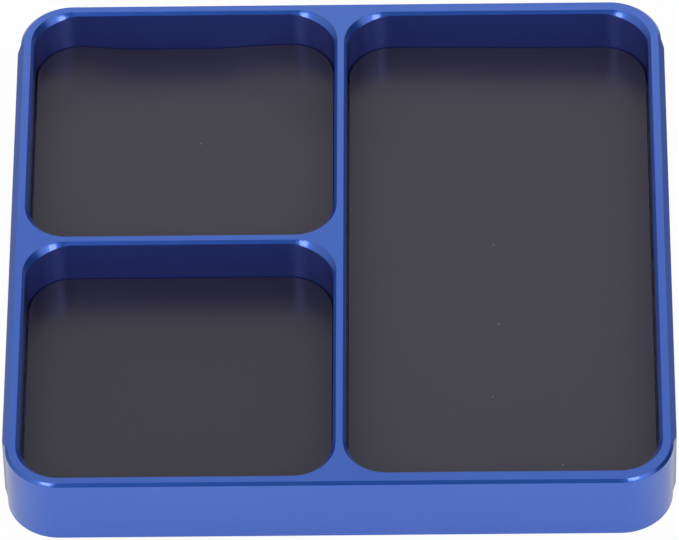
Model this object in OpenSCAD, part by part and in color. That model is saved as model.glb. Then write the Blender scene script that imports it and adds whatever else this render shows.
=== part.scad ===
// Magnetic parts tray: a milled aluminium block with three pockets, a rubber magnet sheet glued into each
// pocket, and four rubber feet in recesses under the corners.
// Millimetres. +Z is up, +Y points from the front face to the rear face.
// The origin lies under the middle of the tray, on the surface that the feet stand on.

/* [Body] */
// Width between the two milled side faces, without the lands
body_w = 99.1; // [80:0.1:160]
// Depth from the front face to the rear face
body_d = 99; // [80:1:160]
// Height of the milled block
body_h = 12; // [9:0.5:24]
// Radius of the four outside corners
corner_r = 8; // [5:0.5:14]
// Chamfer along every top edge, outside and round the pockets
rim_chamfer = 0.45; // [0.2:0.05:0.8]
// Chamfer along the lower outside edge
base_chamfer = 0.25; // [0.1:0.05:0.6]

/* [Side lands] */
// How far the flat land stands out of each side face
land_proud = 0.45; // [0.2:0.05:1]
// Distance from a corner's arc to the end of the flat land
land_setback = 1.5; // [0.5:0.1:4]
// Length of the ramp from the flat land down to the side face
land_ramp = 1.7; // [0.6:0.1:4]

/* [Pockets] */
// Wall between a pocket and the side face beside it
side_wall = 2.05; // [1.2:0.05:4]
// Wall between a left pocket and the front or rear face
end_wall = 2; // [1.2:0.1:4]
// Wall between the right pocket and the front or rear face
long_end_wall = 2.5; // [1.2:0.1:5]
// Thickness of both dividers
divider_t = 1.9; // [1.4:0.1:4]
// Place of the long divider, to the right of the tray's middle
long_divider_x = 0; // [-15:1:15]
// Place of the cross divider, behind the tray's middle
cross_divider_y = 0; // [-15:1:15]
// Corner radius of the pockets' walls
pocket_r = 7; // [4:0.5:10]
// How much tighter the chamfer round a pocket turns its corners than the wall below it
chamfer_lead = 1; // [0:0.25:1.5]
// Thickness of the floor under the pockets
floor_t = 2; // [1.2:0.1:4]

/* [Magnet sheets] */
// Thickness of a magnet sheet
sheet_t = 2; // [0.8:0.1:3]
// Thickness of the adhesive film under a sheet
film_t = 0.2; // [0.1:0.05:0.5]
// Gap between a sheet's edge and the pocket's side walls
sheet_gap = 0.25; // [0.1:0.05:0.8]
// Gap between a sheet's edge and the pocket's front and rear walls
sheet_end_gap = 0.1; // [0.05:0.05:0.8]

/* [Feet] */
// Diameter of a foot
foot_d = 8; // [5:0.5:12]
// Thickness of a foot
foot_t = 1.4; // [1:0.1:3]
// Chamfer round a foot's lower edge
foot_chamfer = 0.4; // [0.1:0.05:0.8]
// Distance from the side, front and rear faces to a foot's middle
foot_inset = 12; // [10:0.5:20]
// Depth of the recess that holds a foot
recess_depth = 0.7; // [0.3:0.05:0.9]
// Gap between a foot and the wall of its recess
recess_gap = 0.2; // [0.05:0.05:0.5]
// Thickness of the adhesive disc on a foot
disc_t = 0.1; // [0.05:0.05:0.2]

/* [Hidden] */
$fn = 96;
// Overshoot of a cutter past the face that it cuts
cut = 1;

// Faces of the block
half_w = body_w / 2;
half_d = body_d / 2;
// Heights, from the surface that the feet stand on
recess_z = foot_t + disc_t;
base_z = recess_z - recess_depth;
rim_z = base_z + body_h;
floor_z = base_z + floor_t;
sheet_z = floor_z + film_t;

// Plan of each pocket at its wall: [left, front, right, rear]
left_x = long_divider_x - divider_t / 2;
right_x = long_divider_x + divider_t / 2;
REAR_LEFT = [side_wall - half_w, cross_divider_y + divider_t / 2, left_x, half_d - end_wall];
FRONT_LEFT = [side_wall - half_w, end_wall - half_d, left_x, cross_divider_y - divider_t / 2];
RIGHT = [right_x, long_end_wall - half_d, half_w - side_wall, half_d - long_end_wall];
// Corner of the tray that a foot stands under: [side, end]
FRONT_LEFT_CORNER = [-1, -1];
FRONT_RIGHT_CORNER = [1, -1];
REAR_LEFT_CORNER = [-1, 1];
REAR_RIGHT_CORNER = [1, 1];

// The flat land ends where the ramps begin
land_half = half_d - corner_r - land_setback;
ramp_angle = atan2(land_proud, land_ramp);

// Plan and corner radius of the sheet in a pocket
function sheet_plan(plan) = plan + [sheet_gap, sheet_end_gap, -sheet_gap, -sheet_end_gap];
sheet_r = pocket_r - max(sheet_gap, sheet_end_gap);

// Right-hand edge of an upright section, u out from its middle and chamfered at the foot and the head.
// A head that is negative opens outwards instead.
function section_edge(u, z0, z1, foot, head) = concat(
    foot == 0 ? [[u, z0]] : [[u - foot, z0], [u, z0 + foot]],
    head == 0 ? [[u, z1]] : [[u, z1 - abs(head)], [u - head, z1]]
);

// The same edge with its mirror image, as a closed section
function full_section(edge) = concat(edge, [for (i = [len(edge) - 1 : -1 : 0]) [-edge[i][0], edge[i][1]]]);

// The same edge closed along the axis, for turning
function half_section(edge) = concat(edge, [[0, edge[len(edge) - 1][1]], [0, edge[0][1]]]);

// Block with round upright corners, chamfered all round its foot and head
module rounded_block(plan, r, z0, z1, foot = 0, head = 0) {
    w = plan[2] - plan[0];
    d = plan[3] - plan[1];
    translate([(plan[0] + plan[2]) / 2, (plan[1] + plan[3]) / 2, 0]) {
        rotate([90, 0, 90])
            linear_extrude(w - 2 * r, center = true)
                polygon(full_section(section_edge(d / 2, z0, z1, foot, head)));
        rotate([90, 0, 0])
            linear_extrude(d - 2 * r, center = true)
                polygon(full_section(section_edge(w / 2, z0, z1, foot, head)));
        for (sx = [-1, 1], sy = [-1, 1])
            translate([sx * (w / 2 - r), sy * (d / 2 - r), 0])
                rotate_extrude()
                    polygon(half_section(section_edge(r, z0, z1, foot, head)));
    }
}

// Everything on the inner side of one upright face with a chamfered foot and head, facing +X and turned
module behind_face(turn, foot, head) {
    reach = body_d + body_w;
    rotate([0, 0, turn])
        rotate([90, 0, 0])
            linear_extrude(2 * reach, center = true)
                polygon(concat(
                    section_edge(0, base_z, rim_z, foot, head),
                    [[-reach, rim_z], [-reach, base_z]]
                ));
}

// Land on the right side: flat, with a ramp down to the side face at each end. The block's chamfers run on
// straight over it, so that they are wider here by as much as the land stands out.
module side_land() {
    intersection() {
        translate([half_w + land_proud, 0, 0])
            behind_face(0, base_chamfer + land_proud, rim_chamfer + land_proud);
        intersection_for (end = [-1, 1])
            translate([half_w + land_proud, end * land_half, 0])
                behind_face(end * ramp_angle, base_chamfer, rim_chamfer);
        translate([half_w - side_wall / 2, -half_d, base_z])
            cube([side_wall / 2 + land_proud, body_d, body_h]);
    }
}

// Cutter for one pocket: straight walls, and a chamfer that turns its corners tighter than the walls do,
// so that it grows wider and deeper there
module pocket(plan) {
    rounded_block(plan, pocket_r, floor_z, rim_z);
    rounded_block(
        plan + chamfer_lead * [1, 1, -1, -1], pocket_r - 2 * chamfer_lead,
        rim_z - rim_chamfer - chamfer_lead - cut, rim_z + cut, 0, -chamfer_lead - rim_chamfer - cut
    );
}

// Places its children under one corner of the tray
module at_foot(corner) {
    translate([corner[0] * (half_w - foot_inset), corner[1] * (half_d - foot_inset), 0])
        children();
}

// Milled block with its lands, pockets and foot recesses
module tray_body() {
    color("#3f63b5")
        difference() {
            union() {
                rounded_block([-half_w, -half_d, half_w, half_d], corner_r, base_z, rim_z, base_chamfer, rim_chamfer);
                side_land();
                mirror([1, 0, 0])
                    side_land();
            }
            for (plan = [REAR_LEFT, FRONT_LEFT, RIGHT])
                pocket(plan);
            for (corner = [FRONT_LEFT_CORNER, FRONT_RIGHT_CORNER, REAR_LEFT_CORNER, REAR_RIGHT_CORNER])
                at_foot(corner)
                    translate([0, 0, base_z - cut])
                        cylinder(h = recess_depth + cut, d = foot_d + 2 * recess_gap);
        }
}

// Rubber magnet sheet, cut to the pocket's outline
module magnet_sheet(plan) {
    color("#45424b")
        rounded_block(sheet_plan(plan), sheet_r, sheet_z, sheet_z + sheet_t);
}

// Adhesive film, cut with the sheet above it
module adhesive_film(plan) {
    color("#d8d2bd")
        rounded_block(sheet_plan(plan), sheet_r, floor_z, sheet_z);
}

// Rubber foot
module foot(corner) {
    color("#232325")
        at_foot(corner)
            rotate_extrude()
                polygon(half_section(section_edge(foot_d / 2, 0, foot_t, foot_chamfer, 0)));
}

// Adhesive disc between a foot and the roof of its recess
module foot_adhesive(corner) {
    color("#d8d2bd")
        at_foot(corner)
            translate([0, 0, foot_t])
                cylinder(h = disc_t, d = foot_d);
}

tray_body();
magnet_sheet(REAR_LEFT);  // magnet_sheet_rear_left
magnet_sheet(FRONT_LEFT);  // magnet_sheet_front_left
magnet_sheet(RIGHT);  // magnet_sheet_right
adhesive_film(REAR_LEFT);  // adhesive_film_rear_left
adhesive_film(FRONT_LEFT);  // adhesive_film_front_left
adhesive_film(RIGHT);  // adhesive_film_right
foot(FRONT_LEFT_CORNER);  // foot_front_left
foot(FRONT_RIGHT_CORNER);  // foot_front_right
foot(REAR_LEFT_CORNER);  // foot_rear_left
foot(REAR_RIGHT_CORNER);  // foot_rear_right
foot_adhesive(FRONT_LEFT_CORNER);  // foot_adhesive_front_left
foot_adhesive(FRONT_RIGHT_CORNER);  // foot_adhesive_front_right
foot_adhesive(REAR_LEFT_CORNER);  // foot_adhesive_rear_left
foot_adhesive(REAR_RIGHT_CORNER);  // foot_adhesive_rear_right
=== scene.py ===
"""Looks of the magnetic parts tray.

A milled, blue anodised aluminium block has three pockets, each lined with a sheet of rubber magnet, and
stands on four rubber feet. Lengths are metres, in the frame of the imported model: +Z up, +Y from the front
face to the rear.
"""

import logging
import math
from collections.abc import Callable
from dataclasses import dataclass
from enum import Enum

import bmesh
import bpy
from mathutils import Matrix, Vector


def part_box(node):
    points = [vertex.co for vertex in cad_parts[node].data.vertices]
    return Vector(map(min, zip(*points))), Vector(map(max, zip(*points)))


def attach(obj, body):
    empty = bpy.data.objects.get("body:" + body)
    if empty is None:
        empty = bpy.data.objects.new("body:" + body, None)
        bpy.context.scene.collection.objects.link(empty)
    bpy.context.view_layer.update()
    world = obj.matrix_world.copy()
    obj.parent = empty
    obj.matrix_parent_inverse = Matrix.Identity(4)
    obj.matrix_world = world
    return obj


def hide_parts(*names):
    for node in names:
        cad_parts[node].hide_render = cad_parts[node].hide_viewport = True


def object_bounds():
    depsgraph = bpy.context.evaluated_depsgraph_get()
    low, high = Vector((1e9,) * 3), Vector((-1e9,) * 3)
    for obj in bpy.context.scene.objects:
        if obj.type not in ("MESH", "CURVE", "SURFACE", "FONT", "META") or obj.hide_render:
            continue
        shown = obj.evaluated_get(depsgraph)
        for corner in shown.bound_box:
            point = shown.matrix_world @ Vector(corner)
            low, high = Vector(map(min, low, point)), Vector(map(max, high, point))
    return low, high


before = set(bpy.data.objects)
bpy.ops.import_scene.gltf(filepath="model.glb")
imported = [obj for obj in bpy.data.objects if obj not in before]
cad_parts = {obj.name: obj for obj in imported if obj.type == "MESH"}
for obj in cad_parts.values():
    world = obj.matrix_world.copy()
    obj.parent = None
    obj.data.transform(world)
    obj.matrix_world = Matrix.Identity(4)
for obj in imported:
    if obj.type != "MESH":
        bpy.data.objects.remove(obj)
CAD_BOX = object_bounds()

LOG = logging.getLogger("parts_tray")
MM = 0.001
BODY = "root"
WHITE = (1.0, 1.0, 1.0, 1.0)
# Two places count as one when they are closer than this
SAME = 0.001 * MM
# A cut mesh is sorted by the distance from here, off every plane of symmetry, to be the same each run
SORT_FROM = Vector((-0.311, -0.173, -0.237))
# A face is upright below the first of these heights of its normal, and level above the second
UPRIGHT_BELOW = 0.1
LEVEL_ABOVE = 0.9
# A face looks straight along an axis when its normal reaches this far along it
STRAIGHT_ON = 0.9999
# Faces that meet at less than this are shaded as one surface
SMOOTH_ANGLE = math.radians(20)
# How strongly the large faces of a piece keep their shading flat, in per cent
FLAT_WEIGHT = 100


class Pocket(Enum):
    """The three pockets, by the end of their nodes' names."""

    REAR_LEFT = "rear_left"
    FRONT_LEFT = "front_left"
    RIGHT = "right"


class Corner(Enum):
    """The four corners that a foot stands under, by the end of their nodes' names."""

    FRONT_LEFT = "front_left"
    FRONT_RIGHT = "front_right"
    REAR_LEFT = "rear_left"
    REAR_RIGHT = "rear_right"


class Slot(Enum):
    """Material slots of the record."""

    ANODISED = "anodised_aluminium"
    MAGNET = "magnet_rubber"
    ADHESIVE = "adhesive"
    FOOT = "foot_rubber"


class Surface(Enum):
    """Surfaces of the body, by the place of their finish on it."""

    OUTSIDE = 0
    WALL = 1
    FLOOR = 2


class Cut(Enum):
    """What is left of a piece that a cutter passes through."""

    OUTSIDE_CUTTER = "DIFFERENCE"
    INSIDE_CUTTER = "INTERSECT"


class Fade(Enum):
    """How a patch of the room fades out towards its edge."""

    SOFT = "SMOOTHSTEP"
    EVEN = "LINEAR"


def linear(code: str) -> tuple[float, float, float, float]:
    """Turn an sRGB hex colour into linear light.

    Args:
        code: The colour, such as "#3355aa".

    Returns:
        Red, green, blue and an alpha of 1.
    """
    channels = [int(code[i:i + 2], 16) / 255 for i in (1, 3, 5)]
    red, green, blue = [c / 12.92 if c <= 0.04045 else ((c + 0.055) / 1.055) ** 2.4 for c in channels]
    return red, green, blue, 1.0


def add_node(tree: bpy.types.NodeTree, kind: str, settings: dict[str, str] | None = None,
             **inputs: object) -> bpy.types.Node:
    """Add a shader node.

    Args:
        tree: The node tree that it goes into.
        kind: Blender's name of the node.
        settings: Properties of the node.
        inputs: Sockets by name with _ for a space, or in_ and a number. A socket is linked, and anything
            else is set.

    Returns:
        The new node.
    """
    node = tree.nodes.new(kind)
    for name, value in (settings or {}).items():
        setattr(node, name, value)
    for name, value in inputs.items():
        key = int(name[3:]) if name.startswith("in_") else name.replace("_", " ")
        if isinstance(value, bpy.types.NodeSocket):
            tree.links.new(value, node.inputs[key])
        else:
            node.inputs[key].default_value = value
    return node


def new_material(name: str) -> tuple[bpy.types.Material, bpy.types.NodeTree, bpy.types.NodeSocket]:
    """Make an empty node material.

    Args:
        name: What the material is and how it was made.

    Returns:
        The material, its node tree and the place on the piece that its patterns read.
    """
    material = bpy.data.materials.new(name)
    material.use_nodes = True
    tree = material.node_tree
    tree.nodes.clear()
    return material, tree, add_node(tree, "ShaderNodeTexCoord").outputs["Object"]


def direction(azimuth: float, elevation: float) -> Vector:
    """Turn two angles into a direction.

    Args:
        azimuth: Degrees from the front of the tray round to its right.
        elevation: Degrees above the level.

    Returns:
        The direction, with a length of 1.
    """
    around = math.radians(azimuth)
    up = math.radians(elevation)
    return Vector((math.sin(around) * math.cos(up), -math.cos(around) * math.cos(up), math.sin(up)))


@dataclass(frozen=True)
class Clouds:
    """Two tones of a material that run into each other in soft clouds of a size."""

    tone: str
    other_tone: str
    size: float
    detail: float = 2.0

    def build(self, tree: bpy.types.NodeTree, place: bpy.types.NodeSocket) -> bpy.types.NodeSocket:
        """Add the clouds to a material.

        Args:
            tree: The material's node tree.
            place: The place on the piece.

        Returns:
            The colour at that place.
        """
        cloud = add_node(tree, "ShaderNodeTexNoise", Vector=place, Scale=1 / self.size, Detail=self.detail)
        mix = add_node(tree, "ShaderNodeMix", {"data_type": "RGBA"}, in_0=cloud.outputs["Fac"],
                       in_6=linear(self.tone), in_7=linear(self.other_tone))
        return mix.outputs[2]


@dataclass(frozen=True)
class Grain:
    """Fine unevenness of a surface: its width, its depth, and its length along Z, counted in its widths."""

    width: float
    depth: float
    upright: float = 1.0
    detail: float = 3.0

    def build(self, tree: bpy.types.NodeTree,
              place: bpy.types.NodeSocket) -> tuple[bpy.types.NodeSocket, bpy.types.NodeSocket]:
        """Add the grain to a material.

        Args:
            tree: The material's node tree.
            place: The place on the piece.

        Returns:
            The grain's height at that place, from 0 to 1, and the normal that it gives the surface.
        """
        drawn = add_node(tree, "ShaderNodeMapping", Vector=place, Scale=(1.0, 1.0, 1 / self.upright))
        noise = add_node(tree, "ShaderNodeTexNoise", Vector=drawn.outputs["Vector"], Scale=1 / self.width,
                         Detail=self.detail)
        height = noise.outputs["Fac"]
        bump = add_node(tree, "ShaderNodeBump", Height=height, Strength=1.0, Distance=self.depth)
        return height, bump.outputs["Normal"]


@dataclass(frozen=True)
class AnodisedAluminium:
    """Blue anodised aluminium 6061, milled and then finely blasted.

    The blast spreads reflections softly, the dye in the oxide's pores turns them blue, and the sealed oxide
    over it adds a clear, sharper gloss.
    """

    name: str = "anodised_aluminium_blasted"
    # Dye takes unevenly over a few centimetres
    dye: Clouds = Clouds("#2e65c9", "#2b5bc8", 16 * MM)
    # Blasted grain is about 0.06 mm wide and is drawn coarser, so that it shows
    grain: Grain = Grain(0.16 * MM, 0.012 * MM)
    # The dyed pores scatter the rest of the light
    metal_share: float = 0.8
    roughness: float = 0.3
    roughness_swing: float = 0.05
    oxide_weight: float = 0.9
    oxide_roughness: float = 0.14
    oxide_ior: float = 1.6

    @classmethod
    def as_milled_with_painted_light(cls) -> "AnodisedAluminium":
        """Return the metal of the pockets' walls, which shows the end mill's upright marks and no blast,
        under a lighter, redder dye that is painted light.
        """
        # The walls' dye is painted light: lighter and redder than the blasted metal's, standing in for the
        # light that reaches the walls; the upright grain is the mill's real marks
        return cls("anodised_aluminium_milled_painted_light", Clouds("#5469d5", "#5063d2", cls.dye.size),
                   Grain(0.3 * MM, cls.grain.depth, upright=40.0))

    def build(self) -> bpy.types.Material:
        """Build the material with its dye clouds and its grain, and return it."""
        material, tree, place = new_material(self.name)
        height, normal = self.grain.build(tree, place)
        rough = add_node(tree, "ShaderNodeMapRange", Value=height,
                         To_Min=self.roughness - self.roughness_swing,
                         To_Max=self.roughness + self.roughness_swing)
        shader = add_node(tree, "ShaderNodeBsdfPrincipled", Base_Color=self.dye.build(tree, place),
                          Metallic=self.metal_share, Roughness=rough.outputs["Result"], Normal=normal,
                          Coat_Weight=self.oxide_weight, Coat_Roughness=self.oxide_roughness,
                          Coat_IOR=self.oxide_ior)
        add_node(tree, "ShaderNodeOutputMaterial", Surface=shader.outputs["BSDF"])
        return material


@dataclass(frozen=True)
class PrimedFloor:
    """Milled aluminium under a brushed coat of primer for the adhesive.

    The coat is pale and dull, so that the gap beside a sheet shows no blue glow.
    """

    # The primer runs thin over a few millimetres
    coat: Clouds = Clouds("#c2bfca", "#cac6d4", 4 * MM)
    ior: float = 1.5
    roughness: float = 0.8

    def build(self) -> bpy.types.Material:
        """Build the material with its thin patches, and return it."""
        material, tree, place = new_material("primed_aluminium_floor")
        shader = add_node(tree, "ShaderNodeBsdfPrincipled", Base_Color=self.coat.build(tree, place),
                          IOR=self.ior, Roughness=self.roughness)
        add_node(tree, "ShaderNodeOutputMaterial", Surface=shader.outputs["BSDF"])
        return material


@dataclass(frozen=True)
class MagnetRubber:
    """Rubber filled with ferrite powder and rolled out between steel calenders.

    The powder makes it charcoal, and the rolls leave a close, nearly smooth skin: it mirrors the room dimly,
    with a fine grain where that light falls off. A few specks of pale dust cling to it.
    """

    name: str = "ferrite_magnet_rubber"
    charcoal: Clouds = Clouds("#312c3d", "#353141", 15 * MM, 4.0)
    # Ferrite grain is a few microns wide and is drawn coarser, so that it shows
    grain: Grain = Grain(0.22 * MM, 0.015 * MM)
    ior: float = 1.5
    roughness: float = 0.31
    roughness_swing: float = 0.08
    dust: str = "#8b8684"
    # The sheet is shared out into cells about this far apart, and a share of them holds a speck
    dust_spacing: float = 11 * MM
    dust_radius: float = 0.1 * MM
    dust_share: float = 0.18

    @classmethod
    def with_painted_shade(cls) -> "MagnetRubber":
        """Return the same rubber a little darker, as painted shade on a sheet that gets less light."""
        shaded_charcoal = Clouds("#2b2637", "#2f2b3a", cls.charcoal.size, cls.charcoal.detail)
        return cls("ferrite_magnet_rubber_painted_shade", shaded_charcoal)

    def build(self) -> bpy.types.Material:
        """Build the material with its clouds, grain and dust, and return it."""
        material, tree, place = new_material(self.name)
        cells = add_node(tree, "ShaderNodeTexVoronoi", {"voronoi_dimensions": "2D"}, Vector=place,
                         Scale=1 / self.dust_spacing)
        speck = add_node(tree, "ShaderNodeMath", {"operation": "LESS_THAN"}, in_0=cells.outputs["Distance"],
                         in_1=self.dust_radius / self.dust_spacing)
        chance = add_node(tree, "ShaderNodeSeparateColor", Color=cells.outputs["Color"])
        kept = add_node(tree, "ShaderNodeMath", {"operation": "LESS_THAN"}, in_0=chance.outputs["Red"],
                        in_1=self.dust_share)
        dusty = add_node(tree, "ShaderNodeMath", {"operation": "MULTIPLY"}, in_0=speck.outputs["Value"],
                         in_1=kept.outputs["Value"])
        tone = add_node(tree, "ShaderNodeMix", {"data_type": "RGBA"}, in_0=dusty.outputs["Value"],
                        in_6=self.charcoal.build(tree, place), in_7=linear(self.dust))
        height, normal = self.grain.build(tree, place)
        rough = add_node(tree, "ShaderNodeMapRange", Value=height,
                         To_Min=self.roughness - self.roughness_swing,
                         To_Max=self.roughness + self.roughness_swing)
        shader = add_node(tree, "ShaderNodeBsdfPrincipled", Base_Color=tone.outputs[2], IOR=self.ior,
                          Roughness=rough.outputs["Result"], Normal=normal)
        add_node(tree, "ShaderNodeOutputMaterial", Surface=shader.outputs["BSDF"])
        return material


@dataclass(frozen=True)
class AcrylicAdhesive:
    """Double-sided acrylic film, cast and slit: pale and slightly glossy, cloudy where it has wetted out."""

    film: Clouds = Clouds("#d9d3be", "#c9c1a8", 3 * MM, 3.0)
    ior: float = 1.48
    roughness: float = 0.35

    def build(self) -> bpy.types.Material:
        """Build the material with its cloudy patches, and return it."""
        material, tree, place = new_material("acrylic_adhesive_film")
        shader = add_node(tree, "ShaderNodeBsdfPrincipled", Base_Color=self.film.build(tree, place),
                          IOR=self.ior, Roughness=self.roughness)
        add_node(tree, "ShaderNodeOutputMaterial", Surface=shader.outputs["BSDF"])
        return material


@dataclass(frozen=True)
class FootRubber:
    """Moulded black polyurethane rubber: matt, with the fine texture of its mould and a dusty bloom."""

    black: Clouds = Clouds("#1d1d1f", "#29292b", 4 * MM, 3.0)
    texture: Grain = Grain(0.25 * MM, 0.006 * MM, detail=2.0)
    ior: float = 1.5
    roughness: float = 0.6

    def build(self) -> bpy.types.Material:
        """Build the material with its mould texture and dusty patches, and return it."""
        material, tree, place = new_material("moulded_rubber_black")
        _, normal = self.texture.build(tree, place)
        shader = add_node(tree, "ShaderNodeBsdfPrincipled", Base_Color=self.black.build(tree, place),
                          IOR=self.ior, Roughness=self.roughness, Normal=normal)
        add_node(tree, "ShaderNodeOutputMaterial", Surface=shader.outputs["BSDF"])
        return material


@dataclass(frozen=True)
class StudioPaper:
    """White paper that the tray stands on: it shows white, and keeps a faint shadow."""

    white: str = "#fafafa"
    # In reflections only, the paper is painted dim beyond its edge, as a dim table round it
    dim: str = "#404040"
    paper_edge: float = 110 * MM
    dim_from: float = 400 * MM
    # In reflections only, the paper beside and behind the tray is painted darker: painted shade, as if the
    # softboxes lit only the paper before it
    lit_until: float = -52 * MM
    shaded_from: float = -40 * MM
    shaded_share: float = 0.25
    # Share of its own light that the paper shows to the lens, and in reflections
    glow: float = 0.95
    glow_mirrored: float = 0.35

    def build(self) -> bpy.types.Material:
        """Build the material, which glows for the lens and a little in reflections, and return it."""
        material, tree, place = new_material("white_studio_paper")
        rays = add_node(tree, "ShaderNodeLightPath").outputs
        away = add_node(tree, "ShaderNodeVectorMath", {"operation": "LENGTH"}, in_0=place)
        beyond = add_node(tree, "ShaderNodeMapRange", {"interpolation_type": Fade.SOFT.value},
                          Value=away.outputs["Value"], From_Min=self.paper_edge, From_Max=self.dim_from)
        # Painted shade on the paper beside and behind the tray, seen in reflections only
        along = add_node(tree, "ShaderNodeSeparateXYZ", Vector=place).outputs["Y"]
        beside = add_node(tree, "ShaderNodeMapRange", {"interpolation_type": Fade.SOFT.value}, Value=along,
                          From_Min=self.lit_until, From_Max=self.shaded_from, To_Max=self.shaded_share)
        dimmed = add_node(tree, "ShaderNodeMath", {"operation": "MAXIMUM"}, in_0=beyond.outputs["Result"],
                          in_1=beside.outputs["Result"])
        shade = add_node(tree, "ShaderNodeMath", {"operation": "MULTIPLY"}, in_0=dimmed.outputs["Value"],
                         in_1=rays["Is Glossy Ray"])
        tone = add_node(tree, "ShaderNodeMix", {"data_type": "RGBA"}, in_0=shade.outputs["Value"],
                        in_6=linear(self.white), in_7=linear(self.dim))
        mirrored = add_node(tree, "ShaderNodeMapRange", Value=shade.outputs["Value"],
                            To_Min=self.glow_mirrored, To_Max=0.0)
        near = add_node(tree, "ShaderNodeMath", {"operation": "MULTIPLY"}, in_0=mirrored.outputs["Result"],
                        in_1=rays["Is Glossy Ray"])
        share = add_node(tree, "ShaderNodeMix", {"data_type": "FLOAT"}, in_0=rays["Is Camera Ray"],
                         in_2=near.outputs["Value"], in_3=self.glow)
        paper = add_node(tree, "ShaderNodeBsdfDiffuse", Color=tone.outputs[2])
        glow = add_node(tree, "ShaderNodeEmission", Color=WHITE, Strength=1.0)
        mixed = add_node(tree, "ShaderNodeMixShader", in_0=share.outputs[0], in_1=paper.outputs["BSDF"],
                         in_2=glow.outputs["Emission"])
        add_node(tree, "ShaderNodeOutputMaterial", Surface=mixed.outputs["Shader"])
        return material


class Modeller:
    """Hand tools of the modelling bench: what each step needs selected is selected here."""

    @staticmethod
    def put_down() -> None:
        """Deselect every object."""
        for other in bpy.context.selected_objects:
            other.select_set(False)

    @staticmethod
    def take(piece: bpy.types.Object) -> None:
        """Select one piece and nothing else."""
        if bpy.context.object is not None and bpy.context.object.mode != "OBJECT":
            bpy.ops.object.mode_set(mode="OBJECT")
        Modeller.put_down()
        piece.select_set(True)
        bpy.context.view_layer.objects.active = piece

    @staticmethod
    def settle(name: str) -> bpy.types.Object:
        """Name the primitive that was just added, put its place into its mesh, and return it."""
        piece = bpy.context.object
        piece.name = piece.data.name = name
        bpy.ops.object.transform_apply(location=True, rotation=True, scale=True)
        return piece

    @staticmethod
    def block(name: str, low: Vector, high: Vector) -> bpy.types.Object:
        """Add a block between its lowest and highest corners, and return it."""
        Modeller.put_down()
        bpy.ops.mesh.primitive_cube_add(size=1.0, location=(low + high) / 2, scale=high - low)
        return Modeller.settle(name)

    @staticmethod
    def disc(name: str, low: Vector, high: Vector, sides: int) -> bpy.types.Object:
        """Add an upright disc that fills the box between two corners, and return it."""
        Modeller.put_down()
        bpy.ops.mesh.primitive_cylinder_add(vertices=sides, radius=(high.x - low.x) / 2, depth=high.z - low.z,
                                            location=(low + high) / 2)
        return Modeller.settle(name)

    @staticmethod
    def copy(piece: bpy.types.Object, name: str, shift: Vector) -> bpy.types.Object:
        """Copy a piece with a mesh of its own.

        Args:
            piece: The piece to copy.
            name: Name of the copy.
            shift: How far the copy's mesh lies from the piece's.

        Returns:
            The copy.
        """
        twin = piece.copy()
        twin.data = piece.data.copy()
        twin.name = twin.data.name = name
        twin.data.transform(Matrix.Translation(shift))
        bpy.context.scene.collection.objects.link(twin)
        return twin

    @staticmethod
    def pick_edges(piece: bpy.types.Object, test: Callable[[bmesh.types.BMEdge], bool]) -> None:
        """Go into edit mode and select the edges that pass a test."""
        Modeller.take(piece)
        bpy.ops.object.mode_set(mode="EDIT")
        bpy.ops.mesh.select_mode(type="EDGE")
        bpy.ops.mesh.select_all(action="DESELECT")
        for edge in bmesh.from_edit_mesh(piece.data).edges:
            if test(edge):
                edge.select_set(True)
        bmesh.update_edit_mesh(piece.data)

    @staticmethod
    def pick_faces(piece: bpy.types.Object, test: Callable[[bmesh.types.BMFace], bool]) -> None:
        """Go into edit mode and select the faces that pass a test."""
        Modeller.take(piece)
        bpy.ops.object.mode_set(mode="EDIT")
        bpy.ops.mesh.select_mode(type="FACE")
        bpy.ops.mesh.select_all(action="DESELECT")
        for face in bmesh.from_edit_mesh(piece.data).faces:
            if test(face):
                face.select_set(True)
        bmesh.update_edit_mesh(piece.data)

    @staticmethod
    def bevel(size: float, segments: int) -> None:
        """Bevel the selected edges and leave edit mode; one segment is a chamfer."""
        bpy.ops.mesh.bevel(offset_type="OFFSET", offset=size, segments=segments, profile=0.5, affect="EDGES",
                           clamp_overlap=False)
        bpy.ops.object.mode_set(mode="OBJECT")

    @staticmethod
    def slice(piece: bpy.types.Object, place: Vector, normal: Vector) -> None:
        """Cut a line round a piece where a plane meets it, and keep both sides."""
        Modeller.take(piece)
        bpy.ops.object.mode_set(mode="EDIT")
        bpy.ops.mesh.select_all(action="SELECT")
        bpy.ops.mesh.bisect(plane_co=place, plane_no=normal, threshold=SAME)
        bpy.ops.object.mode_set(mode="OBJECT")

    @staticmethod
    def cut(piece: bpy.types.Object, cutter: bpy.types.Object, keep: Cut = Cut.OUTSIDE_CUTTER) -> None:
        """Cut a piece.

        Args:
            piece: The piece to cut.
            cutter: The shape of the cut, which is used up.
            keep: The part of the piece that stays.
        """
        Modeller.take(piece)
        modifier = piece.modifiers.new("cut", "BOOLEAN")
        modifier.operation = keep.value
        modifier.solver = "MANIFOLD"
        modifier.object = cutter
        bpy.ops.object.modifier_apply(modifier=modifier.name)
        # The solver takes over the cutter's empty material slot
        piece.data.materials.clear()
        mesh = cutter.data
        bpy.data.objects.remove(cutter)
        bpy.data.meshes.remove(mesh)

    @staticmethod
    def clean(piece: bpy.types.Object, least_edge: float, flat_angle: float = 0.0) -> None:
        """Tidy a cut mesh, so that its edges can be rounded.

        Args:
            piece: The piece to tidy.
            least_edge: Points closer than this become one.
            flat_angle: Edges flatter than this, in radians, are dissolved, and none at 0.
        """
        Modeller.take(piece)
        bpy.ops.object.mode_set(mode="EDIT")
        bpy.ops.mesh.select_all(action="SELECT")
        bpy.context.scene.cursor.location = SORT_FROM
        bpy.ops.mesh.sort_elements(type="CURSOR_DISTANCE", elements={"VERT", "EDGE", "FACE"})
        bpy.ops.mesh.remove_doubles(threshold=least_edge)
        if flat_angle > 0:
            bpy.ops.mesh.dissolve_limited(angle_limit=flat_angle)
        bpy.ops.object.mode_set(mode="OBJECT")

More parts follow.
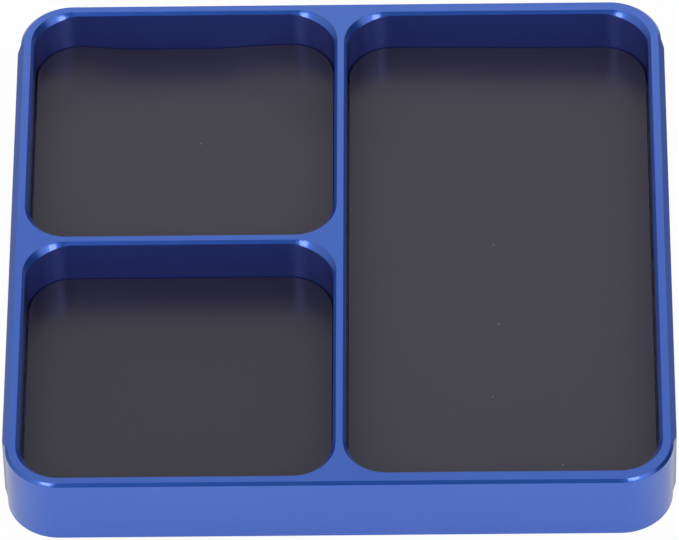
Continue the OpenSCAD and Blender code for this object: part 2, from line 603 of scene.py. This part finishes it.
    @staticmethod
    def soften(piece: bpy.types.Object, size: float, segments: int, least_angle: float) -> None:
        """Round every edge sharper than an angle a little, and shade the flats flat.

        Args:
            piece: The piece to finish.
            size: Width of the rounding.
            segments: Steps across it.
            least_angle: Edges flatter than this, in radians, are left alone.
        """
        Modeller.take(piece)
        rounding = piece.modifiers.new("rounding", "BEVEL")
        rounding.limit_method = "ANGLE"
        rounding.angle_limit = least_angle
        rounding.width = size
        rounding.segments = segments
        rounding.use_clamp_overlap = True
        bpy.ops.object.modifier_apply(modifier=rounding.name)
        bpy.ops.object.shade_smooth_by_angle(angle=SMOOTH_ANGLE)
        flats = piece.modifiers.new("flats", "WEIGHTED_NORMAL")
        flats.mode = "FACE_AREA"
        flats.weight = FLAT_WEIGHT
        flats.keep_sharp = True
        bpy.ops.object.modifier_apply(modifier=flats.name)


def is_upright(edge: bmesh.types.BMEdge) -> bool:
    """Whether an edge runs straight up."""
    low, high = (v.co for v in edge.verts)
    return math.hypot(high.x - low.x, high.y - low.y) < SAME < abs(high.z - low.z)


def is_brink(edge: bmesh.types.BMEdge, height: float) -> bool:
    """Whether an edge lies at a height and joins a level face to an upright one.

    Args:
        edge: The edge.
        height: The height that both its ends have to be at.

    Returns:
        True for such an edge.
    """
    if any(abs(v.co.z - height) > SAME for v in edge.verts) or len(edge.link_faces) != 2:
        return False
    upright, level = sorted(abs(f.normal.z) for f in edge.link_faces)
    return upright < UPRIGHT_BELOW and level > LEVEL_ABOVE


@dataclass
class TrayBody:
    """The milled block with its side lands, pockets and foot recesses."""

    finishes: dict[Surface, bpy.types.Material]
    node: str = "tray_body"
    corner_radius: float = 8 * MM
    corner_steps: int = 32
    rim_chamfer: float = 0.45 * MM
    base_chamfer: float = 0.25 * MM
    land_proud: float = 0.45 * MM
    land_setback: float = 1.5 * MM
    pocket_radius: float = 7 * MM
    pocket_steps: int = 28
    # The chamfer round a pocket turns its corners this much tighter than the wall, so it is wider there
    chamfer_lead: float = 1 * MM
    sheet_gap: float = 0.25 * MM
    sheet_end_gap: float = 0.1 * MM
    recess_gap: float = 0.2 * MM
    recess_sides: int = 64
    # The deburred edges are rounded by a few hundredths
    edge_round: float = 0.08 * MM
    edge_steps: int = 3
    edge_angle: float = math.radians(30)
    # The cuts leave shorter edges and flatter ones, which would stop the rounding
    least_edge: float = 0.06 * MM
    flat_angle: float = math.radians(0.5)
    # How far a cutter stands out of the face that it cuts
    overshoot: float = 1 * MM

    def build(self) -> bpy.types.Object:
        """Model the block in the order that a mill would cut it, and return it."""
        low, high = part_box(self.node)
        proud = Vector((self.land_proud, 0, 0))
        body = Modeller.block("anodised_body", low + proud, high - proud)
        Modeller.pick_edges(body, is_upright)
        Modeller.bevel(self.corner_radius, self.corner_steps)
        self._raise_lands(body, low, high)
        self._chamfer_outline(body, low + proud, high - proud)
        for pocket in Pocket:
            self._mill_pocket(body, pocket, high.z)
        for corner in Corner:
            self._bore_recess(body, corner, low.z)
        Modeller.clean(body, self.least_edge, self.flat_angle)
        Modeller.soften(body, self.edge_round, self.edge_steps, self.edge_angle)
        for surface in Surface:
            body.data.materials.append(self.finishes[surface])
        for pocket in Pocket:
            self._finish_pocket(body, pocket)
        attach(body, BODY)
        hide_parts(self.node)
        return body

    def _raise_lands(self, body: bpy.types.Object, low: Vector, high: Vector) -> None:
        """Raise the land on each side face, with a ramp at both ends.

        Args:
            body: The block with its round corners.
            low: Lowest corner of the body, lands included.
            high: Highest corner of the body, lands included.
        """
        straight = high.y - low.y - 2 * self.corner_radius
        shorten = (straight - 2 * self.land_setback) / straight
        for side in (-1, 1):
            Modeller.pick_faces(body, lambda f: f.normal.x * side > STRAIGHT_ON)
            bpy.ops.mesh.extrude_region_move(
                TRANSFORM_OT_translate={"value": (side * self.land_proud, 0, 0)})
            bpy.ops.transform.resize(value=(1, shorten, 1))
            bpy.ops.object.mode_set(mode="OBJECT")

    def _chamfer_outline(self, body: bpy.types.Object, low: Vector, high: Vector) -> None:
        """Chamfer the block round its top and its foot, straight on over the lands, which are cut wider.

        Args:
            body: The block with its lands.
            low: Lowest corner of the block without the lands.
            high: Highest corner of the block without the lands.
        """
        reach = self.overshoot
        spread = Vector((reach, reach, 0))
        hull = Modeller.block("hull", low - spread, high + spread)
        Modeller.pick_edges(hull, is_upright)
        Modeller.bevel(self.corner_radius + reach, self.corner_steps)
        for height, chamfer in ((high.z, self.rim_chamfer), (low.z, self.base_chamfer)):
            Modeller.pick_edges(hull, lambda e: is_brink(e, height))
            Modeller.bevel(reach + chamfer, 1)
        Modeller.cut(body, hull, Cut.INSIDE_CUTTER)

    def _mill_pocket(self, body: bpy.types.Object, pocket: Pocket, rim: float) -> None:
        """Mill one pocket down to the film under its sheet, and chamfer its edge.

        Args:
            body: The block.
            pocket: The pocket to mill.
            rim: Height of the block's top.
        """
        low, high = self._pocket_box(pocket)
        high.z = rim + self.overshoot
        walls = Modeller.block("cutter", low, high)
        Modeller.pick_edges(walls, is_upright)
        Modeller.bevel(self.pocket_radius, self.pocket_steps)
        Modeller.cut(body, walls)
        reach = self.rim_chamfer + self.overshoot
        low.z = rim - self.rim_chamfer - self.chamfer_lead
        high.z += self.overshoot
        spread = Vector((reach, reach, 0))
        chamfer = Modeller.block("cutter", low - spread, high + spread)
        Modeller.pick_edges(chamfer, is_upright)
        Modeller.bevel(self.pocket_radius - self.chamfer_lead + reach, self.pocket_steps)
        Modeller.pick_edges(chamfer, lambda e: is_brink(e, low.z))
        Modeller.bevel(reach + self.chamfer_lead, 1)
        Modeller.cut(body, chamfer)

    def _pocket_box(self, pocket: Pocket) -> tuple[Vector, Vector]:
        """Return the lowest and highest corners of a pocket's walls, a gap away from its sheet."""
        low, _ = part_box(f"adhesive_film_{pocket.value}")
        _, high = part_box(f"magnet_sheet_{pocket.value}")
        gap = Vector((self.sheet_gap, self.sheet_end_gap, 0))
        return low - gap, high + gap

    def _finish_pocket(self, body: bpy.types.Object, pocket: Pocket) -> None:
        """Give one pocket's walls and its floor their finishes.

        Args:
            body: The finished block.
            pocket: The pocket to dress.
        """
        low, high = self._pocket_box(pocket)

        def is_inside(face: bmesh.types.BMFace) -> bool:
            """Whether a face lies within the pocket's outline and looks into the pocket."""
            place = face.calc_center_median()
            within = low.x - SAME < place.x < high.x + SAME and low.y - SAME < place.y < high.y + SAME
            return within and face.normal.dot((low + high) / 2 - place) > 0

        def is_wall(face: bmesh.types.BMFace) -> bool:
            """Whether a face is one of the pocket's upright walls."""
            return is_inside(face) and abs(face.normal.z) < UPRIGHT_BELOW

        def is_floor(face: bmesh.types.BMFace) -> bool:
            """Whether a face lies on the pocket's floor."""
            return is_inside(face) and abs(face.calc_center_median().z - low.z) < SAME

        for surface, test in ((Surface.WALL, is_wall), (Surface.FLOOR, is_floor)):
            Modeller.pick_faces(body, test)
            body.active_material_index = surface.value
            bpy.ops.object.material_slot_assign()
            bpy.ops.object.mode_set(mode="OBJECT")

    def _bore_recess(self, body: bpy.types.Object, corner: Corner, base: float) -> None:
        """Bore the recess of one foot, up to the disc on the foot.

        Args:
            body: The block.
            corner: The corner that the foot stands under.
            base: Height of the block's underside.
        """
        low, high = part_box(f"foot_adhesive_{corner.value}")
        gap = Vector((self.recess_gap, self.recess_gap, 0))
        bottom = Vector((low.x, low.y, base - self.overshoot))
        Modeller.cut(body, Modeller.disc("cutter", bottom - gap, high + gap, self.recess_sides))


@dataclass(frozen=True)
class Curl:
    """A rear corner of a sheet that has come up: its side, its lift, and the length it fades out over."""

    side: int
    lift: float
    reach: float


@dataclass
class MagnetSheet:
    """A sheet of rubber magnet, cut to the outline of its pocket."""

    pocket: Pocket
    finish: bpy.types.Material
    curls: tuple[Curl, ...] = ()
    # A sheet that curls is cut into squares of this size, so that it bends
    square: float = 2.5 * MM
    # The cuts leave shorter edges, which would stop the rounding
    least_edge: float = 0.1 * MM
    corner_radius: float = 6.75 * MM
    corner_steps: int = 28
    # The knife draws the upper edge down a little
    edge_round: float = 0.08 * MM
    edge_steps: int = 5
    edge_angle: float = math.radians(40)

    def build(self) -> bpy.types.Object:
        """Model the sheet with its round corners, its curls and its drawn-down edge, and return it."""
        node = f"magnet_sheet_{self.pocket.value}"
        low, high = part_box(node)
        sheet = Modeller.block(f"rubber_{node}", low, high)
        Modeller.pick_edges(sheet, is_upright)
        Modeller.bevel(self.corner_radius, self.corner_steps)
        if self.curls:
            self._cut_squares(sheet, low, high)
        for curl in self.curls:
            self._lift_corner(sheet, curl, low, high)
        Modeller.soften(sheet, self.edge_round, self.edge_steps, self.edge_angle)
        sheet.data.materials.append(self.finish)
        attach(sheet, BODY)
        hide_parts(node)
        return sheet

    def _cut_squares(self, sheet: bpy.types.Object, low: Vector, high: Vector) -> None:
        """Cut the sheet's faces into squares along both axes.

        Args:
            sheet: The sheet.
            low: Its lowest corner.
            high: Its highest corner.
        """
        for normal in (Vector((1, 0, 0)), Vector((0, 1, 0))):
            for step in range(1, math.ceil((high - low).dot(normal) / self.square)):
                Modeller.slice(sheet, low + normal * step * self.square, normal)
        Modeller.clean(sheet, self.least_edge)

    def _lift_corner(self, sheet: bpy.types.Object, curl: Curl, low: Vector, high: Vector) -> None:
        """Lift one rear corner by its arc, with the rubber beside it following.

        Args:
            sheet: The sheet, cut into squares.
            curl: The corner and its lift.
            low: Lowest corner of the flat sheet.
            high: Highest corner of the flat sheet.
        """
        corner = Vector((low.x if curl.side < 0 else high.x, high.y))
        middle = corner - self.corner_radius * Vector((curl.side, 1))

        def is_on_arc(edge: bmesh.types.BMEdge) -> bool:
            """Whether an edge lies on the corner's arc."""
            ways = [v.co.xy - middle for v in edge.verts]
            within = all(w.x * curl.side > -SAME and w.y > -SAME for w in ways)
            return within and all(w.length > self.corner_radius - SAME for w in ways)

        Modeller.pick_edges(sheet, is_on_arc)
        bpy.ops.transform.translate(value=(0, 0, curl.lift), use_proportional_edit=True,
                                    proportional_edit_falloff="SMOOTH", proportional_size=curl.reach)
        bpy.ops.object.mode_set(mode="OBJECT")


@dataclass
class RubberFeet:
    """Four round rubber feet from one mould."""

    finish: bpy.types.Material
    sides: int = 64
    # The mould rounds the lower edge, and breaks the upper one a little
    edge_round: float = 0.4 * MM
    edge_steps: int = 5
    upper_round: float = 0.1 * MM
    upper_steps: int = 2
    upper_angle: float = math.radians(40)

    def build(self) -> list[bpy.types.Object]:
        """Model one foot, copy it to the other corners, and return all four."""
        nodes = [f"foot_{corner.value}" for corner in Corner]
        low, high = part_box(nodes[0])
        foot = Modeller.disc(f"rubber_{nodes[0]}", low, high, self.sides)
        Modeller.pick_edges(foot, lambda e: is_brink(e, low.z))
        Modeller.bevel(self.edge_round, self.edge_steps)
        Modeller.soften(foot, self.upper_round, self.upper_steps, self.upper_angle)
        foot.data.materials.append(self.finish)
        feet = [foot] + [Modeller.copy(foot, f"rubber_{node}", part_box(node)[0] - low) for node in nodes[1:]]
        for piece, node in zip(feet, nodes):
            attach(piece, BODY)
            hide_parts(node)
        return feet


@dataclass
class AdhesiveLayers:
    """The films under the sheets and the discs on the feet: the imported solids, with their finish."""

    finish: bpy.types.Material

    def dress(self) -> list[bpy.types.Object]:
        """Give every adhesive node its finish, and return the nodes."""
        names = [f"adhesive_film_{p.value}" for p in Pocket] + [f"foot_adhesive_{c.value}" for c in Corner]
        layers = [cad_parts[name] for name in names]
        for layer in layers:
            layer.data.materials.clear()
            layer.data.materials.append(self.finish)
        return layers


@dataclass(frozen=True)
class PhotoCamera:
    """The photograph's camera, as the tray's edges give it: a long lens, half-way up in front of the tray."""

    image_width_px: int = 679
    focal_px: float = 8266.7
    sensor_mm: float = 36.0
    pitch: float = math.radians(47.468)
    yaw: float = math.radians(-1.233)
    roll: float = math.radians(-1.426)
    distance: float = 1251.2 * MM
    # The middle of the rim, seen from the lens, off the lens's axis
    rim_right: float = 0.06 * MM
    rim_up: float = 5.05 * MM
    # Nothing nearer or farther than this shows
    nearest: float = 50 * MM
    farthest: float = 50.0

    def build(self) -> bpy.types.Object:
        """Place the camera over the middle of the tray's rim, and return it."""
        data = bpy.data.cameras.new("photo_camera")
        data.sensor_width = self.sensor_mm
        data.lens = self.focal_px * self.sensor_mm / self.image_width_px
        data.clip_start = self.nearest
        data.clip_end = self.farthest
        camera = bpy.data.objects.new("photo_camera", data)
        bpy.context.scene.collection.objects.link(camera)
        turn = (Matrix.Rotation(-self.yaw, 3, "Z") @ Matrix.Rotation(math.pi / 2 - self.pitch, 3, "X")
                @ Matrix.Rotation(self.roll, 3, "Z"))
        rim = Vector((0, 0, CAD_BOX[1].z))
        place = rim - turn @ Vector((self.rim_right, self.rim_up, -self.distance))
        camera.matrix_world = Matrix.Translation(place) @ turn.to_4x4()
        bpy.context.scene.camera = camera
        return camera


@dataclass(frozen=True)
class Softbox:
    """A square lamp that faces the tray; its angles are in degrees."""

    name: str
    azimuth: float
    elevation: float
    distance: float
    width: float
    radiance: float

    def build(self) -> bpy.types.Object:
        """Hang the lamp, turn it to the tray and return it."""
        data = bpy.data.lights.new(self.name, "AREA")
        data.shape = "SQUARE"
        data.size = self.width
        data.energy = self.radiance * math.pi * self.width ** 2
        lamp = bpy.data.objects.new(self.name, data)
        bpy.context.scene.collection.objects.link(lamp)
        towards = direction(self.azimuth, self.elevation)
        lamp.location = towards * self.distance
        lamp.rotation_mode = "QUATERNION"
        lamp.rotation_quaternion = towards.to_track_quat("Z", "Y")
        lamp.visible_camera = False
        return lamp


@dataclass(frozen=True)
class RoomPatch:
    """A patch of the room that shows in the metal.

    It is full within the inner angle from its middle and gone at the outer one. Its angles are in degrees.
    """

    azimuth: float
    elevation: float
    inner: float
    outer: float
    strength: float
    fade: Fade = Fade.SOFT

    def build(self, tree: bpy.types.NodeTree, way: bpy.types.NodeSocket,
              rest: bpy.types.NodeSocket | float = 0.0) -> bpy.types.NodeSocket:
        """Add the patch's nodes.

        Args:
            tree: The room's node tree.
            way: The direction that is looked in.
            rest: Strength of the room outside the patch.

        Returns:
            The strength of the room in that direction.
        """
        facing = add_node(tree, "ShaderNodeVectorMath", {"operation": "DOT_PRODUCT"}, in_0=way,
                          in_1=direction(self.azimuth, self.elevation))
        patch = add_node(tree, "ShaderNodeMapRange", {"interpolation_type": self.fade.value},
                         Value=facing.outputs["Value"], From_Min=math.cos(math.radians(self.outer)),
                         From_Max=math.cos(math.radians(self.inner)), To_Min=rest, To_Max=self.strength)
        return patch.outputs["Result"]


@dataclass(frozen=True)
class Studio:
    """White paper, a room that is bright behind the tray and on its left, two softboxes and a rear panel."""

    floor_size: float = 8.0
    room_fill: float = 0.76
    room_dim: float = 0.04
    bright: tuple[RoomPatch, ...] = (
        RoomPatch(azimuth=180, elevation=47, inner=24, outer=58, strength=0.69),
        RoomPatch(azimuth=-50, elevation=34, inner=0, outer=105, strength=0.7, fade=Fade.EVEN),
        RoomPatch(azimuth=45, elevation=38, inner=8, outer=33, strength=1.1),
        RoomPatch(azimuth=142, elevation=6, inner=0, outer=36, strength=0.2),
    )
    # The room is dark round the camera
    camera_side: RoomPatch = RoomPatch(azimuth=0, elevation=41, inner=20, outer=38, strength=0.04)
    lamps: tuple[Softbox, ...] = (
        Softbox("softbox_left", azimuth=-29, elevation=41, distance=0.85, width=0.23, radiance=5.5),
        Softbox("softbox_right", azimuth=30, elevation=41, distance=0.95, width=0.25, radiance=5.5),
        Softbox("panel_rear", azimuth=180, elevation=33, distance=0.5, width=0.25, radiance=0.3),
    )

    def build(self) -> None:
        """Lay the paper, light the room and hang the softboxes."""
        self._lay_paper()
        self._light_room()
        for lamp in self.lamps:
            lamp.build()
        bpy.context.scene.view_settings.view_transform = "Standard"

    def _lay_paper(self) -> None:
        """Lay the paper under the feet."""
        Modeller.put_down()
        bpy.ops.mesh.primitive_plane_add(size=self.floor_size, location=(0, 0, CAD_BOX[0].z))
        paper = bpy.context.object
        paper.name = "studio_paper"
        paper.data.materials.append(StudioPaper().build())

    def _light_room(self) -> None:
        """Make the room: white to the lens, patchy in reflections, and a plain fill light."""
        world = bpy.data.worlds.new("studio_room")
        bpy.context.scene.world = world
        world.use_nodes = True
        tree = world.node_tree
        tree.nodes.clear()
        way = add_node(tree, "ShaderNodeTexCoord").outputs["Generated"]
        shine = self.room_dim
        for patch in self.bright:
            shine = add_node(tree, "ShaderNodeMath", {"operation": "MAXIMUM"}, in_0=shine,
                             in_1=patch.build(tree, way)).outputs["Value"]
        shine = self.camera_side.build(tree, way, shine)
        rays = add_node(tree, "ShaderNodeLightPath").outputs
        fill = add_node(tree, "ShaderNodeMix", {"data_type": "FLOAT"}, in_0=rays["Is Glossy Ray"],
                        in_2=self.room_fill, in_3=shine)
        clear = add_node(tree, "ShaderNodeMath", {"operation": "MAXIMUM"}, in_0=rays["Is Camera Ray"],
                         in_1=rays["Is Transmission Ray"])
        strength = add_node(tree, "ShaderNodeMix", {"data_type": "FLOAT"}, in_0=clear.outputs["Value"],
                            in_2=fill.outputs[0], in_3=1.0)
        room = add_node(tree, "ShaderNodeBackground", Color=WHITE, Strength=strength.outputs[0])
        add_node(tree, "ShaderNodeOutputWorld", Surface=room.outputs["Background"])


def main() -> None:
    """Build the studio and every piece of the tray."""
    logging.basicConfig(level=logging.INFO, format="%(name)s: %(message)s")
    PhotoCamera().build()
    Studio().build()
    made = [TrayBody({
        Surface.OUTSIDE: AnodisedAluminium().build(),
        Surface.WALL: AnodisedAluminium.as_milled_with_painted_light().build(),
        Surface.FLOOR: PrimedFloor().build(),
    }).build()]
    sheet_rubbers = dict.fromkeys(Pocket, MagnetRubber().build())
    # The front-left sheet gets the darker copy of the rubber: painted shade over that pocket, which gets less
    # light
    sheet_rubbers[Pocket.FRONT_LEFT] = MagnetRubber.with_painted_shade().build()
    curls = {
        Pocket.REAR_LEFT: (
            Curl(side=-1, lift=0.7 * MM, reach=8 * MM),
            Curl(side=1, lift=0.78 * MM, reach=13 * MM),
        ),
        Pocket.RIGHT: (Curl(side=-1, lift=0.35 * MM, reach=24 * MM),),
    }
    made += [MagnetSheet(pocket, sheet_rubbers[pocket], curls.get(pocket, ())).build() for pocket in Pocket]
    made += RubberFeet(FootRubber().build()).build()
    made += AdhesiveLayers(AcrylicAdhesive().build()).dress()
    for piece in made:
        LOG.info("%s: %d faces", piece.name, len(piece.data.polygons))


if __name__ == "__main__":
    main()
